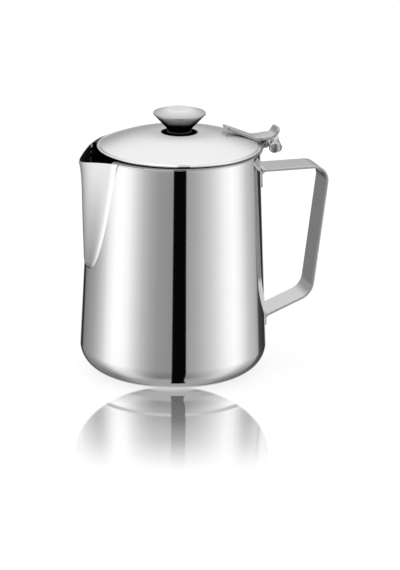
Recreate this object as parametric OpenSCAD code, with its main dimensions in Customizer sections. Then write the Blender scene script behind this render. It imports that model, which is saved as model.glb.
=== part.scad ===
// Hot milk jug in stainless steel: a drawn body with a welded pouring spout and a bent strip handle,
// and a domed lid that turns on a pin above the handle.
// X runs from the spout (-X) to the handle (+X), Z is up, and the origin is the centre of the flat base.

/* [Body] */
// Widest outer diameter, just above the rounded base edge
body_d = 110; // [104:1:120]
// How much narrower the body is at the rim
side_taper = 11; // [8:0.1:14]
// Height of the rim above the base
body_h = 133; // [125:1:145]
// Outer radius that rounds the side into the base
base_corner_r = 14.7; // [10:0.1:18]
// Thickness of the drawn steel sheet
wall = 0.8; // [0.6:0.05:1]
// Outer radius that turns the rim inwards
rim_curl_r = 1.5; // [1.3:0.1:2]
// Width of the flat ledge inside the curl
ledge_w = 2.4; // [1.8:0.1:2.6]

/* [Spout] */
// Distance from the rim down to the spout's foot
spout_l = 68.5; // [58:0.5:78]
// How far the pouring tip lies below the rim
spout_tip_drop = 4.4; // [2:0.1:7]
// Half angle round the body that the spout spans below its lip
spout_half_angle = 29.2; // [25:0.1:32]
// Half angle that the flared lip adds
spout_lip_angle = 4; // [2:0.1:8]
// Angle at which the spout's rounded sides leave the body, from the plane across it
spout_side_angle = 50; // [40:1:55]
// Thickness of the spout where its edge is ground down on the body
spout_edge_wall = 0.25; // [0.2:0.05:0.4]

/* [Handle] */
// Width of the handle strip
strip_w = 18.5; // [15:0.5:22]
// Thickness of the handle strip
strip_t = 1.5; // [1.2:0.1:2]
// Distance from the rim down to the upper arm's top face
handle_top_drop = 14.8; // [13:0.1:21]
// Distance from the body's widest edge out to the outer face of the grip
handle_out = 38.3; // [31:0.1:45]
// Angle by which the grip leans in towards its lower end
grip_lean = 6.8; // [4:0.1:9]
// Height at which the grip would meet the lower arm
handle_low_z = 39.6; // [34:0.1:46]
// Slope of the lower arm down to the body
low_arm_slope = 21.6; // [15:0.1:26]
// Radius of the upper bend, to the middle of the strip
top_bend_r = 8.8; // [6:0.1:12]
// Radius of the lower bend, to the middle of the strip
low_bend_r = 11.2; // [8:0.1:14]
// Radius of the bends where the arms turn down into their weld tabs
tab_bend_r = 2.6; // [2:0.1:4]
// Length of the upper weld tab below the arm
top_tab_l = 11; // [8:0.5:14]
// Length of the lower weld tab below the arm
low_tab_l = 7; // [6:0.5:10]

/* [Lid] */
// How much smaller in radius the lid is than the rim
lid_inset = 1.7; // [1.4:0.1:2]
// How far the lid's centre lies from the body's axis, towards the handle
lid_shift = 2.6; // [1:0.1:2.7]
// Thickness of the hem
hem_t = 1.1; // [0.9:0.1:1.6]
// Width of the hem
hem_w = 1.3; // [1:0.1:2]
// Rise of the dome above the hem
dome_rise = 7.7; // [6:0.1:9]
// Diameter of the dome's flat centre, which the knob stands on
dome_flat_d = 25; // [20:1:30]
// Thickness of the lid's sheet
lid_wall = 0.7; // [0.5:0.05:0.9]
// Least gap between the locating ring and the mouth
ring_clearance = 0.6; // [0.5:0.1:2.5]
// Depth of the locating ring below the hem
ring_drop = 4.8; // [3:0.1:8]
// Half angle of the gap that lets the milk past the locating ring
ring_gap_angle = 24; // [15:1:32]

/* [Hinge] */
// Distance from the rim's outer edge out to the hinge pin
pin_out = 4.3; // [4.1:0.1:5.5]
// Height of the hinge pin below the rim
pin_drop = 0.6; // [0.4:0.1:1]
// Diameter of the hinge pin
pin_d = 2.5; // [2:0.1:2.6]
// Length of the hinge pin
pin_l = 12; // [11.4:0.1:13]
// Outer diameter of the knuckles round the pin
knuckle_d = 4.4; // [4:0.1:4.6]
// Width of the lever's knuckle
knuckle_w = 6.2; // [5:0.1:7]
// Thickness of each ear of the bracket
ear_t = 2; // [1.6:0.1:2.1]
// Thickness of the bracket's plate
plate_t = 1.2; // [0.9:0.1:1.4]
// Height of the bracket's plate
plate_h = 12; // [9:0.5:12.4]

/* [Lever] */
// Distance from the hinge pin in to the lever's inner end
lever_l = 24; // [20:0.1:25.8]
// Thickness of the lever
lever_t = 1.6; // [1.4:0.1:2.4]
// Width of the lever at its inner end
lever_in_w = 7; // [6:0.5:9]
// Width of the lever at the hinge
lever_hinge_w = 12.4; // [12:0.2:14]
// Height by which the inner end springs clear of the dome
lever_lift = 0.9; // [0.4:0.1:1.4]
// Distance from the pin to the outer tip of the thumb piece
thumb_reach = 10.2; // [9:0.1:11]
// Inner radius of the thumb piece's arch beside the hinge
thumb_in_r = 6; // [5.8:0.1:6.4]
// Inner radius to which the arch flares at the tip of its tongue
thumb_tip_r = 12; // [10.5:0.1:12.5]
// Inner radius to which the arch flares at its two lobes
thumb_lobe_r = 9.2; // [8.4:0.1:10]
// Width of the upturned tongue
thumb_tongue_w = 11; // [9:0.5:12]
// Thickness of the thumb piece
thumb_t = 1.7; // [1.4:0.1:2]
// Distance that the axis of the arch lies below the pin
thumb_axis_drop = 2.9; // [2.4:0.1:3.4]

/* [Knob] */
// Widest diameter of the knob
knob_d = 30.4; // [26:0.2:34]
// Diameter of the knob's flat top
knob_top_d = 17.6; // [14:0.2:20]
// Height of the knob's cap
cap_h = 3; // [2.4:0.1:4]
// Diameter of the knob's neck
neck_d = 13; // [12:0.2:14]
// Height of the knob's cone
cone_h = 10.4; // [9.4:0.1:12]
// Thickness of the knob's sheet
knob_wall = 0.7; // [0.5:0.05:0.9]
// Diameter of the black washer under the knob
washer_d = 14.4; // [13:0.2:16]
// Thickness of the black washer
washer_t = 0.7; // [0.5:0.1:1]
// Diameter of the threaded insert inside the knob
insert_d = 8; // [7:0.2:9]
// Height of the threaded insert
insert_h = 6.5; // [5:0.1:7.5]
// Diameter of the screw's shank
screw_d = 4; // [3.6:0.1:4.4]
// Diameter of the screw's head
screw_head_d = 7.6; // [7:0.1:8.4]
// Height of the screw's head
screw_head_h = 2.2; // [1.8:0.1:2.6]
// Width of the cross recess in the screw's head
recess_w = 0.9; // [0.7:0.1:1.1]
// Diameter of the steel washer under the screw's head
screw_washer_d = 11; // [10:0.2:12]
// Thickness of the steel washer
screw_washer_t = 0.8; // [0.6:0.1:1]

/* [Fits] */
// Gap left where two pieces of one assembly are seated on each other
seat_gap = 0.05; // [0.02:0.01:0.1]
// Gap between the lid's hem and the rim
hem_gap = 0.2; // [0.1:0.05:0.4]
// Radial clearance between the pin and the lever's bore
pin_clearance = 0.06; // [0.03:0.01:0.09]
// Side and face clearance between the lever and the bracket
hinge_clearance = 0.3; // [0.25:0.05:0.4]
// Radial clearance round the screw
screw_clearance = 0.25; // [0.1:0.05:0.4]

/* [Hidden] */
$fn = 96;
// Length by which cutting shapes pass the faces that they cut
overrun = 1;

steel = [0.78, 0.79, 0.80];
brushed = [0.68, 0.69, 0.70];
polished = [0.86, 0.87, 0.88];
black = [0.08, 0.08, 0.08];

// Heights and radii that follow from the sizes above
body_r = body_d / 2;
rim_r = body_r - side_taper / 2;
base_r = body_r - base_corner_r;
taper_top_z = body_h - rim_curl_r;
mouth_r = rim_r - rim_curl_r - ledge_w;
lid_r = rim_r - lid_inset;
dome_r = lid_r - hem_w;
ring_r = mouth_r - lid_shift - ring_clearance;
hem_z = body_h + hem_gap;
hem_top_z = hem_z + hem_t;
dome_top_z = hem_top_z + dome_rise;
pin_x = rim_r + pin_out;
pin_z = body_h - pin_drop;
pin_r = pin_d / 2;
knuckle_r = knuckle_d / 2;
ear_in_y = knuckle_w / 2 + hinge_clearance;
screw_hole_r = screw_d / 2 + screw_clearance;

// Outer radius of the body's straight side at height z
function side_r(z) = body_r + (rim_r - body_r) * (z - base_corner_r) / (taper_top_z - base_corner_r);

// Points on an arc in a plane
function arc(centre, r, a0, a1, n) =
    [for (k = [0:n]) centre + r * [cos(a0 + (a1 - a0) * k / n), sin(a0 + (a1 - a0) * k / n)]];

function reverse(list) = [for (k = [len(list) - 1:-1:0]) list[k]];

// Body

// Half outline of the body's outside, or of its inside when inset is the wall's thickness
function body_outline(inset) = concat(
    [[0, inset]],
    arc([base_r, base_corner_r], base_corner_r - inset, -90, 0, 16),
    arc([rim_r - rim_curl_r, taper_top_z], rim_curl_r - inset, 0, 90, 6));

// Share of the spout's half angle at which the opening in the body's wall ends
opening_share = 0.8;

// Opening in the wall behind the spout, seen along X
module pour_opening() {
    steps = 24;
    side = [for (k = [0:steps])
        let (s = k / steps, z = spout_z(s, opening_share))
        [side_r(z) * sin(opening_share * spout_phi(s)), z]];
    top = side[steps][1] + spout_tip_drop + overrun;
    outline = concat(side, [[side[steps][0], top], [-side[steps][0], top]],
                     reverse([for (p = side) [-p[0], p[1]]]));
    rotate([90, 0, -90]) linear_extrude(height = body_r + overrun) polygon(outline);
}

module body() {
    color(polished) difference() {
        rotate_extrude($fn = 180) polygon(concat(
            body_outline(0),
            [[mouth_r, body_h], [mouth_r, body_h - wall]],
            reverse(body_outline(wall))));
        pour_opening();
    }
}

// Spout

// Share of the spout's height that is cut off its pointed foot
foot_share = 0.004;
// Share of the half angle over which the pouring edge is rounded
nose_share = 0.12;
// Share of the spout's height at which its rounded sides start to flatten towards its pointed lip
flat_from_share = 0.86;
// Highest power of the curve across the spout, which keeps its low foot round
round_power = 4;
// Powers that shape the way the spout widens, flares into its lip and dips to its tip
widen_power = 0.36;
lip_power = 10;
dip_power = 1.7;
// Share of the way from the centre line at which the wall starts to thin towards the weld
thin_power = 8;
// Share of the spout's height over which its wall thickens above the foot
foot_thin_share = 0.06;

spout_foot_z = body_h - spout_l;

// Rounded distance from the centre line: u is -1 and 1 at the spout's sides, and 0 at its nose
function nose(u) = sqrt(u * u + nose_share * nose_share * (1 - u * u));
// Half angle spanned at share s of the spout's height
function spout_phi(s) = spout_half_angle * pow(foot_share + (1 - foot_share) * s, widen_power)
    + spout_lip_angle * pow(s, lip_power);
// Height of the pouring edge, which dips from the rim to the tip
function spout_edge_z(u) =
    body_h - rim_curl_r / 2
    - (spout_tip_drop - rim_curl_r / 2) * pow((1 - nose(u)) / (1 - nose_share), dip_power);
function spout_z(s, u) = spout_foot_z + (spout_edge_z(u) - spout_foot_z) * s;
// Straight sides that leave the round body at a tangent, seen from above with the nose along the first axis
function flat_side(r, phi, u) = r / cos(phi * (1 - nose(u))) * [cos(phi * u), sin(phi * u)];
// Rounded sides that reach the same nose
function round_side(r, phi, u) =
    let (root = r * cos(phi), half_w = r * sin(phi), reach = r / cos(phi * (1 - nose_share)) - root,
         power = min(round_power, tan(spout_side_angle) * half_w / reach))
    [root + reach * (1 - pow(abs(u), power)), half_w * u];
function smooth(t) = let (k = min(1, max(0, t))) k * k * (3 - 2 * k);
function spout_plan(s, u) =
    let (r = side_r(spout_z(s, u)), phi = spout_phi(s),
         w = smooth((s - flat_from_share) / (1 - flat_from_share)))
    (1 - w) * round_side(r, phi, u) + w * flat_side(r, phi, u);
function spout_wall(s, u) = spout_edge_wall
    + (wall - spout_edge_wall) * (1 - pow(abs(u), thin_power)) * min(1, s / foot_thin_share);
function spout_point(s, u, out) =
    let (plan = spout_plan(s, u), grown = plan * (1 + (seat_gap + out) / norm(plan)))
    [-grown[0], -grown[1], spout_z(s, u)];

module spout() {
    rows = 16;
    cols = 20;
    width = cols + 1;
    count = (rows + 1) * width;
    // Rows lie closer together at the foot
    shares = [for (i = [0:rows]) pow(i / rows, 2)];
    outer = [for (s = shares, j = [0:cols]) let (u = 2 * j / cols - 1) spout_point(s, u, spout_wall(s, u))];
    inner = [for (s = shares, j = [0:cols]) spout_point(s, 2 * j / cols - 1, 0)];
    // Two triangles for each cell of a grid
    sheet = [for (i = [0:rows - 1], j = [0:cols - 1], half = [0:1])
        let (a = i * width + j, b = a + 1, c = a + width + 1, d = a + width)
        half == 0 ? [a, b, c] : [a, c, d]];
    // Points round the edge of the grid, in order
    edge = concat([for (j = [0:cols - 1]) j],
                  [for (i = [0:rows - 1]) i * width + cols],
                  [for (j = [cols:-1:1]) rows * width + j],
                  [for (i = [rows:-1:1]) i * width]);
    rim = [for (k = [0:len(edge) - 1], half = [0:1])
        let (a = edge[k], b = edge[(k + 1) % len(edge)])
        half == 0 ? [a, a + count, b + count] : [a, b + count, b]];
    color(polished) polyhedron(
        points = concat(outer, inner),
        faces = concat(sheet,
                       [for (f = sheet) [f[0] + count, f[2] + count, f[1] + count]],
                       rim));
}

// Handle

// One side of a strip bent along a path: radii belong to the middle line, and out is the
// distance from it to the side, to the left of the path
function bend_side(path, radii, out) = concat(
    [path[0] + out * left_of(path, 0)],
    [for (i = [1:len(path) - 2])
        let (a = along(path, i - 1), b = along(path, i), way = sign(cross(a, b)), turn = acos(a * b),
             start = path[i] - a * radii[i] * tan(turn / 2), centre = start + way * radii[i] * left(a),
             from = atan2((start - centre)[1], (start - centre)[0]))
        each arc(centre, radii[i] - way * out, from, from + way * turn, 14)],
    [path[len(path) - 1] + out * left_of(path, len(path) - 2)]);
function along(path, i) = (path[i + 1] - path[i]) / norm(path[i + 1] - path[i]);
function left(v) = [-v[1], v[0]];
function left_of(path, i) = left(along(path, i));

// Middle of the flat bend above a curved weld tab, at height z: it lies a quarter of the strip's
// thickness inside the tab, so that the flat bend and the curved tab share the body's curve
function tab_mid(z) = [side_r(z) + seat_gap + strip_t / 4, z];

top_arm_z = body_h - handle_top_drop - strip_t / 2;
grip_top = [body_r + handle_out - strip_t / 2, top_arm_z];
grip_low = [grip_top[0] - (grip_top[1] - handle_low_z) * tan(grip_lean), handle_low_z];
low_arm_end_x = tab_mid(handle_low_z)[0];
low_arm_z = handle_low_z - (grip_low[0] - low_arm_end_x) * tan(low_arm_slope);
// Distance below each corner at which the flat bend ends on the tab
tab_start = 1.4 * tab_bend_r;
handle_path = [tab_mid(top_arm_z - tab_start), tab_mid(top_arm_z), grip_top, grip_low,
               tab_mid(low_arm_z), tab_mid(low_arm_z - tab_start)];
handle_radii = [0, tab_bend_r, top_bend_r, low_bend_r, tab_bend_r, 0];

// Solid inside the body's straight side, grown outwards
module side_solid(out) {
    rotate_extrude($fn = 180) polygon([
        [0, 0], [side_r(0) + out, 0], [side_r(body_h) + out, body_h], [0, body_h]]);
}

// Block whose outer face is curved round the body, w wide, with rounded lower corners
module side_block(t, z0, z1, w, corner_r) {
    intersection() {
        side_solid(seat_gap + t);
        rotate([90, 0, 90]) linear_extrude(height = body_r + t + overrun) union() {
            for (side = [-1, 1]) translate([side * (w / 2 - corner_r), z0 + corner_r]) circle(r = corner_r);
            translate([-w / 2, z0 + corner_r]) square([w, z1 - z0 - corner_r]);
            translate([corner_r - w / 2, z0]) square([w - 2 * corner_r, corner_r]);
        }
    }
}

module handle() {
    tab_corner_r = strip_w / 6;
    color(brushed) difference() {
        union() {
            rotate([90, 0, 0]) linear_extrude(height = strip_w, center = true) polygon(concat(
                bend_side(handle_path, handle_radii, strip_t / 2),
                reverse(bend_side(handle_path, handle_radii, -strip_t / 2))));
            side_block(strip_t, top_arm_z - top_tab_l, top_arm_z - tab_bend_r, strip_w, tab_corner_r);
            side_block(strip_t, low_arm_z - low_tab_l, low_arm_z - tab_bend_r / 2, strip_w, tab_corner_r);
        }
        side_solid(seat_gap);
    }
}

// Hinge

// Moves a shape drawn in the XZ plane out to width w, centred on y
module across(y, w) {
    translate([0, y + w / 2, 0]) rotate([90, 0, 0]) linear_extrude(height = w) children();
}

plate_top_z = taper_top_z - seat_gap;
plate_low_z = plate_top_z - plate_h;

module hinge_bracket() {
    root_x = side_r(plate_low_z) - plate_t;
    ear_low_z = plate_top_z - plate_h * 2 / 3;
    plate_w = 2 * (ear_in_y + ear_t);
    color(steel) difference() {
        union() {
            side_block(plate_t, plate_low_z, plate_top_z, plate_w, plate_w / 8);
            for (side = [-1, 1]) across(side * (ear_in_y + ear_t / 2), ear_t) {
                translate([pin_x, pin_z]) circle(r = knuckle_r);
                // The ear's lower edge stays inside the path of the thumb piece
                polygon([[root_x, ear_low_z], [pin_x - knuckle_r / 2, pin_z - knuckle_r],
                         [pin_x, pin_z - knuckle_r], [pin_x, pin_z + knuckle_r], [root_x, plate_top_z]]);
            }
        }
        side_solid(seat_gap);
        across(0, pin_l + 2 * overrun) translate([pin_x, pin_z]) circle(r = pin_r + seat_gap / 2);
    }
}

module hinge_pin() {
    chamfer = pin_r / 5;
    color(steel) translate([pin_x, pin_l / 2, pin_z]) rotate([90, 0, 0]) rotate_extrude() polygon([
        [0, 0], [pin_r - chamfer, 0], [pin_r, chamfer], [pin_r, pin_l - chamfer],
        [pin_r - chamfer, pin_l], [0, pin_l]]);
}

// Lid

// Height of the dome's upper face at a distance from the lid's centre
function dome_z(r) = let (t = max(0, r - dome_flat_d / 2) / (dome_r - dome_flat_d / 2))
    hem_top_z + dome_rise * (1 - t * t);

module lid() {
    steps = 24;
    seam_r = dome_r - lid_wall;
    upper = [for (k = [0:steps]) let (r = screw_hole_r + (dome_r - screw_hole_r) * k / steps) [r, dome_z(r)]];
    lower = [for (k = [0:steps]) let (r = screw_hole_r + (seam_r - screw_hole_r) * k / steps)
        [r, dome_z(r) - lid_wall]];
    color(polished) translate([lid_shift, 0, 0]) rotate_extrude($fn = 180) polygon(concat(
        upper,
        arc([lid_r - hem_t / 2, hem_z + hem_t / 2], hem_t / 2, 90, -90, 10),
        [[seam_r, hem_z]],
        reverse(lower)));
}

module lid_ring() {
    low_z = hem_z - ring_drop;
    gap_top_z = hem_z;
    color(steel) translate([lid_shift, 0, 0]) difference() {
        rotate_extrude($fn = 180) polygon([
            [ring_r - wall, low_z], [ring_r, low_z], [ring_r, dome_z(ring_r) - lid_wall - seat_gap],
            [ring_r - wall, dome_z(ring_r) - lid_wall - seat_gap]]);
        translate([0, 0, low_z - overrun]) linear_extrude(height = gap_top_z - low_z + overrun) polygon([
            [0, 0], body_d * [-cos(ring_gap_angle), sin(ring_gap_angle)],
            body_d * [-cos(ring_gap_angle), -sin(ring_gap_angle)]]);
    }
}

// Lever

// Height of the lever's lower face where it passes over the hinge
lever_over_z = pin_z + knuckle_r + hinge_clearance;
// Places of the lever's inner end, where it leaves the dome, and where it becomes the thumb piece
lever_in_x = pin_x - lever_l;
lever_seat_x = lid_shift + dome_r * 0.72;
lever_off_x = lid_shift + dome_r - hem_w;
thumb_x = pin_x + knuckle_r + hinge_clearance;
thumb_axis_z = pin_z - thumb_axis_drop;
tip_x = pin_x + thumb_reach;

function lever_low_z(x) = dome_z(x - lid_shift) + seat_gap
    + lever_lift * pow(max(0, lever_seat_x - x) / (lever_seat_x - lever_in_x), 2);

// Side view of the strap from its inner end to the thumb piece
module strap_side() {
    steps = 12;
    low = concat([for (k = [0:steps])
            let (x = lever_in_x + (lever_off_x - lever_in_x) * k / steps) [x, lever_low_z(x)]],
        [[pin_x - knuckle_r, lever_over_z], [thumb_x, thumb_axis_z + thumb_in_r]]);
    polygon(concat(low, reverse([for (p = low) p + [0, lever_t]])));
}

// Plan view of the strap, which widens from its rounded inner end to the hinge
module strap_plan() {
    end_r = lever_in_w / 2;
    translate([lever_in_x + end_r, 0]) circle(r = end_r);
    polygon([[lever_in_x + end_r, end_r], [pin_x - knuckle_r, lever_hinge_w / 2],
             [thumb_x, lever_hinge_w / 2], [thumb_x, -lever_hinge_w / 2],
             [pin_x - knuckle_r, -lever_hinge_w / 2], [lever_in_x + end_r, -end_r]]);
}

// Arch that starts beside the hinge and flares outwards to end_r
module flared_arch(end_r) {
    // Places along the flare, as shares of its length and of its growth in radius
    flare_shares = [[0, 0], [0.3, 0.17], [0.6, 0.45], [0.82, 0.74], [1, 1]];
    // Angle of the arch, half of it on each side of the crown
    arch_angle = 216;
    inner = [for (f = flare_shares)
        [thumb_in_r + (end_r - thumb_in_r) * f[1], (tip_x - thumb_x) * f[0]]];
    translate([thumb_x, 0, thumb_axis_z]) rotate([0, 90, 0]) rotate([0, 0, 180 - arch_angle / 2])
        rotate_extrude(angle = arch_angle) polygon(
            concat(inner, reverse([for (p = inner) p + [thumb_t, 0]])));
}

// Saddle-shaped thumb piece: an upturned tongue between two drooping lobes
module thumb_piece() {
    lobe_r = (tip_x - thumb_x) * 0.44;
    lobe_x = (tip_x + thumb_x) / 2;
    lobe_z = thumb_axis_z + lobe_r / 2;
    saddle_l = (tip_x - thumb_x) * 0.9;
    tongue_r = thumb_tongue_w / 2;
    intersection() {
        flared_arch(thumb_tip_r);
        linear_extrude(height = 2 * body_h) union() {
            translate([tip_x - tongue_r, 0]) circle(r = tongue_r);
            translate([thumb_x, -tongue_r]) square([tip_x - tongue_r - thumb_x, thumb_tongue_w]);
        }
    }
    intersection() {
        flared_arch(thumb_lobe_r);
        across(0, 4 * thumb_lobe_r) union() {
            translate([lobe_x, lobe_z]) circle(r = lobe_r);
            translate([thumb_x, lobe_z]) square([saddle_l, 2 * thumb_lobe_r]);
        }
    }
}

module lid_lever() {
    color(steel) difference() {
        union() {
            intersection() {
                across(0, 2 * lever_hinge_w) strap_side();
                linear_extrude(height = 2 * body_h) strap_plan();
            }
            thumb_piece();
            across(0, knuckle_w) {
                translate([pin_x, pin_z]) circle(r = knuckle_r);
                translate([pin_x - knuckle_r / 2, pin_z])
                    square([knuckle_r, lever_over_z - pin_z + lever_t / 2]);
            }
        }
        across(0, knuckle_w + 2 * overrun) translate([pin_x, pin_z]) circle(r = pin_r + pin_clearance);
    }
}

// Knob

knob_r = knob_d / 2;
neck_r = neck_d / 2;
washer_z = dome_top_z + seat_gap;
cone_z = washer_z + washer_t + seat_gap;
cap_z = cone_z + cone_h + seat_gap;
// Height of the folded edge where the cap meets the cone
knob_edge_h = knob_wall / 2;

module at_lid_axis(z) {
    translate([lid_shift, 0, z]) children();
}

module knob_cone() {
    lip_h = cone_h - knob_edge_h;
    color(steel) at_lid_axis(cone_z) rotate_extrude($fn = 120) polygon([
        [screw_hole_r, 0], [neck_r, 0], [neck_r, knob_wall], [knob_r, lip_h], [knob_r, cone_h],
        [knob_r - 2 * knob_wall, cone_h], [neck_r - knob_wall / 2, knob_wall], [screw_hole_r, knob_wall]]);
}

module knob_cap() {
    top_r = knob_top_d / 2;
    color(polished) at_lid_axis(cap_z) rotate_extrude($fn = 120) polygon([
        [knob_r - 2 * knob_wall, 0], [knob_r, 0], [knob_r, knob_edge_h], [top_r, cap_h], [0, cap_h],
        [0, cap_h - knob_wall], [top_r - knob_wall / 2, cap_h - knob_wall]]);
}

module flat_washer(d, hole_r, t) {
    difference() {
        cylinder(d = d, h = t);
        translate([0, 0, -overrun]) cylinder(r = hole_r, h = t + 2 * overrun);
    }
}

module knob_washer() {
    color(black) at_lid_axis(washer_z) flat_washer(washer_d, screw_hole_r, washer_t);
}

module knob_insert() {
    color(steel) at_lid_axis(cone_z + knob_wall + seat_gap)
        flat_washer(insert_d, screw_d / 2 + seat_gap / 2, insert_h);
}

screw_washer_z = dome_z(screw_washer_d / 2) - lid_wall - seat_gap - screw_washer_t;

module screw_washer() {
    color(steel) at_lid_axis(screw_washer_z) flat_washer(screw_washer_d, screw_hole_r, screw_washer_t);
}

module knob_screw() {
    head_z = screw_washer_z - seat_gap - screw_head_h;
    end_z = cone_z + knob_wall + insert_h * 0.85;
    head_edge = screw_head_h / 3;
    color(steel) at_lid_axis(head_z) difference() {
        rotate_extrude() polygon([
            [0, 0], [screw_head_d / 2 - head_edge, 0], [screw_head_d / 2, head_edge],
            [screw_head_d / 2, screw_head_h], [screw_d / 2, screw_head_h], [screw_d / 2, end_z - head_z],
            [0, end_z - head_z]]);
        for (turn = [0, 90]) rotate([0, 0, turn]) translate([-screw_d / 2, -recess_w / 2, -overrun])
            cube([screw_d, recess_w, screw_head_h / 2 + overrun]);
    }
}

body();
spout();
handle();
hinge_bracket();
hinge_pin();
lid();
lid_ring();
lid_lever();
knob_cap();
knob_cone();
knob_washer();
knob_insert();
knob_screw();
screw_washer();
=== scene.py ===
"""Looks for a stainless steel hot milk jug with a hinged domed lid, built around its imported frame.

Lengths are in metres and angles in degrees. X runs from the spout (-X) to the handle (+X), and Z is up.
"""

import math

import bmesh
import bpy
from mathutils import Matrix, Vector


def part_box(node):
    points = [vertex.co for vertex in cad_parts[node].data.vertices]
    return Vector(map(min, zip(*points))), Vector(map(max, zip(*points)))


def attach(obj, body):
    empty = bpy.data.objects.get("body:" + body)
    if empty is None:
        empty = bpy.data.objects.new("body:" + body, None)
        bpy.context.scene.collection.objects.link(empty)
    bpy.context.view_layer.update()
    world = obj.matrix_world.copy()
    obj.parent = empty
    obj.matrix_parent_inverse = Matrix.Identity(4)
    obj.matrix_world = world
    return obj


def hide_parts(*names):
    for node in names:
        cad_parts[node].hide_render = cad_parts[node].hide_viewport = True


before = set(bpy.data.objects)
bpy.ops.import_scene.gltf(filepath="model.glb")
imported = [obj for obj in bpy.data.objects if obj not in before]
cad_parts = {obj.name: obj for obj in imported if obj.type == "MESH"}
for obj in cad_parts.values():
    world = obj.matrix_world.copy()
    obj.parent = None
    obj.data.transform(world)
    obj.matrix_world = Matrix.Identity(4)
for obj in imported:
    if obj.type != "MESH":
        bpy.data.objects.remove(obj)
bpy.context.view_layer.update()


def node_box(node):
    """Lowest corner, highest corner and centre of a CAD node."""
    low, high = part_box(node)
    return low, high, (low + high) / 2


# Sizes taken from the frame

_, BODY_HIGH, _ = node_box("body")
BODY_R = BODY_HIGH.y
BODY_H = BODY_HIGH.z
LID_LOW, LID_HIGH, LID_MID = node_box("lid")
LID_X = LID_MID.x
LID_R = (LID_HIGH.y - LID_LOW.y) / 2
HEM_Z = LID_LOW.z
DOME_TOP_Z = LID_HIGH.z
RING_LOW, RING_HIGH, _ = node_box("lid_ring")
RING_R = RING_HIGH.y
PIN_LOW, PIN_HIGH, PIN_MID = node_box("hinge_pin")
PIN_R = (PIN_HIGH.x - PIN_LOW.x) / 2
CAP_LOW, CAP_HIGH, _ = node_box("knob_cap")
CONE_LOW, CONE_HIGH, _ = node_box("knob_cone")
WASHER_LOW, WASHER_HIGH, _ = node_box("knob_washer")
KNOB_R = CAP_HIGH.y
STRIP_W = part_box("handle")[1].y * 2

# Sizes of the sheet metal, as in the part's source

WALL = 0.0008
SIDE_TAPER = 0.011
CORNER_R = 0.0147
CURL_R = 0.0015
LEDGE_W = 0.0024
SEAT_GAP = 0.00005
RIM_R = BODY_R - SIDE_TAPER / 2
TAPER_TOP_Z = BODY_H - CURL_R
MOUTH_R = RIM_R - CURL_R - LEDGE_W
BASE_R = BODY_R - CORNER_R

SPOUT_FOOT_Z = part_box("spout")[0].z
SPOUT_TIP_DROP = 0.0044
SPOUT_HALF_ANGLE = 29.2
SPOUT_LIP_ANGLE = 4
SPOUT_SIDE_ANGLE = 50
STRAIGHT_SHARE = 0.95
ROUND_POWER = 4
SPOUT_EDGE_WALL = 0.00025
FOOT_SHARE = 0.004
NOSE_SHARE = 0.12
WIDEN_POWER = 0.36
LIP_POWER = 10
DIP_POWER = 1.7
OPENING_SHARE = 0.8
SKIRT_SHARE = 0.12
SKIRT_FADE = (0.86, 0.14)
SIDE_SINK = (0.97, 0.03)
EDGE_SINK_SHARE = 0.8
FOOT_SINK_SHARE = 0.03
FOOT_THIN_SHARE = 0.06
SIDE_THIN_POWER = 8
SINK_DEPTH = 0.0001
POUR_EDGE_H = 0.0004
POUR_EDGE_SHARE = 0.12
WELD_R = 0.0010
INWARDS = -0.2

STRIP_T = 0.0015
STRIP_EDGE_R = 0.0004
HANDLE_TOP_DROP = 0.0148
HANDLE_OUT = 0.0383
GRIP_LEAN = 6.8
HANDLE_LOW_Z = 0.0396
LOW_ARM_SLOPE = 21.6
TOP_BEND_R = 0.0088
LOW_BEND_R = 0.0112
TAB_BEND_R = 0.0026
TOP_TAB_L = 0.011
LOW_TAB_L = 0.007
TAB_WRAP_SHARE = 1.6
PATH_GAP = 0.0011

HEM_T = 0.0011
HEM_W = 0.0013
LID_WALL = 0.0007
DOME_R = LID_R - HEM_W
HEM_TOP_Z = HEM_Z + HEM_T
DOME_RISE = DOME_TOP_Z - HEM_TOP_Z
DOME_FLAT_R = 0.0125
SCREW_HOLE_R = 0.00225
GROOVE_R = 0.0006
RING_GAP_ANGLE = 24
RING_EDGE_R = 0.0002

KNUCKLE_R = 0.0022
KNUCKLE_W = 0.0062
HINGE_GAP = 0.0003
EAR_T = 0.002
PLATE_T = 0.0012
PLATE_H = 0.012
EAR_ROOT_SHARE = 0.6
EAR_ROOT_RISE = 0.0004
EAR_TOP_DROP = 0.0002
PIN_DOME_SHARE = 0.28
LEVER_L = 0.024
LEVER_T = 0.0019
LEVER_IN_W = 0.0084
LEVER_HINGE_W = 0.0124
LEVER_LIFT = 0.0019
LEVER_SEAT_SHARE = 0.95
LEVER_CROWN = 0.00015
LEVER_JOIN_L = 0.0004
LEVER_VOXEL = 0.00018
BRACKET_VOXEL = 0.00016
TONGUE_HALF_T = LEVER_T * 0.45
TONGUE_STEEP = 64
TONGUE_BEND_R = 0.0048
TONGUE_TAIL_L = 0.0026
TONGUE_REACH = 0.0070
TONGUE_END_R = 0.0025
LOBE_SHARE = 0.44
LOBE_TURN = 21
LOBE_ASIDE_SHARE = 1.15
NECK_SHARE = 0.2
NECK_RISE = 0.0002
SADDLE_SHARE = 0.35
SADDLE_IN_RISE = 0.0004
SADDLE_OUT_RISE = 0.0006
ROOF_SHARE = 0.7
LOBE_TRIM_BACK = 0.0010
LOBE_BALL_BACK = 0.0018
LOBE_BALL_DROP = 0.0003
THUMB_REACH = 0.0102
THUMB_IN_R = 0.006
THUMB_TIP_R = 0.012
THUMB_LOBE_R = 0.0092
THUMB_TONGUE_W = 0.011
THUMB_T = 0.0017
THUMB_AXIS_DROP = 0.0029
THUMB_HALF_ANGLE = 108
CROWN_FULLNESS = 1.25
CROWN_ANGLE = 52
PIN_PLAY = 0.00006
LEVER_IN_X = PIN_MID.x - LEVER_L
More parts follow.
